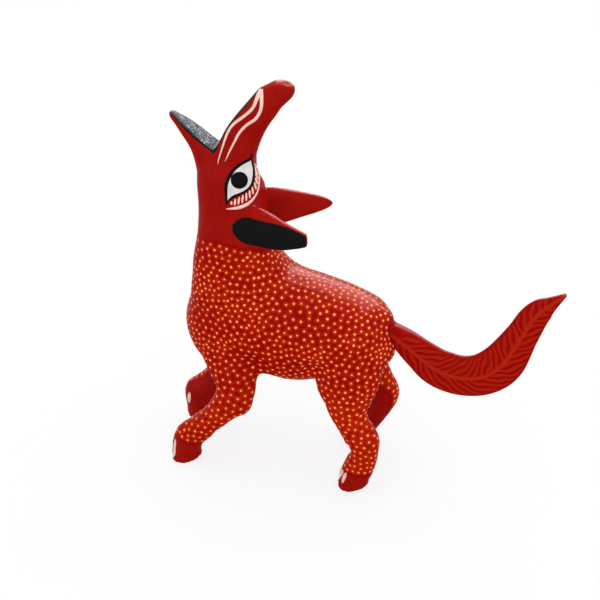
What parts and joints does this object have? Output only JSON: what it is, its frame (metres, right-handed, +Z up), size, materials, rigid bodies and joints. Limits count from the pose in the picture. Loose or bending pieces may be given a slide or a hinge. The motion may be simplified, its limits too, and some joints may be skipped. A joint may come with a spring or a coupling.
{
  "type": "carved dog figurine",
  "caption": "Carved, painted wooden dog on four paws, head thrown back and jaws open in a howl; its leaf-shaped ears and feather-shaped tail pull off on round pegs.",
  "frame": {"origin": "on the ground, under the middle of the whole figure's box", "axes": "+Z up from the paws to the snout, the dog faces -X with its tail to +X, and its left side is -Y"},
  "size_m": [0.1686, 0.0434, 0.1793],
  "materials": {
    "dotted_paint": "acrylic paint with raised dots under satin varnish, on copal wood",
    "tail_paint": "red acrylic paint with lighter brushed barbs, satin varnish, on copal wood",
    "ear_paint": "black and red acrylic paint, satin varnish, on copal wood",
    "peg_wood": "bare whittled hardwood"
  },
  "bodies": {
    "carving": {"carved_body": "dotted_paint"},
    "tail_on_peg": {"tail": "tail_paint", "tail_peg": "peg_wood"},
    "left_ear_on_peg": {"left_ear": "ear_paint", "left_ear_peg": "peg_wood"},
    "right_ear_on_peg": {"right_ear": "ear_paint", "right_ear_peg": "peg_wood"}
  },
  "joints": [
    {"name": "tail_pull", "type": "slide", "parent": "carving", "child": "tail_on_peg", "axis": [0.809, 0, -0.5878], "range_m": [0, 0.018]},
    {"name": "left_ear_pull", "type": "slide", "parent": "carving", "child": "left_ear_on_peg", "axis": [0.9498, -0.3086, 0.0523], "range_m": [0, 0.011]},
    {"name": "right_ear_pull", "type": "slide", "parent": "carving", "child": "right_ear_on_peg", "axis": [0.9498, 0.3086, 0.0523], "range_m": [0, 0.011]}
  ]
}
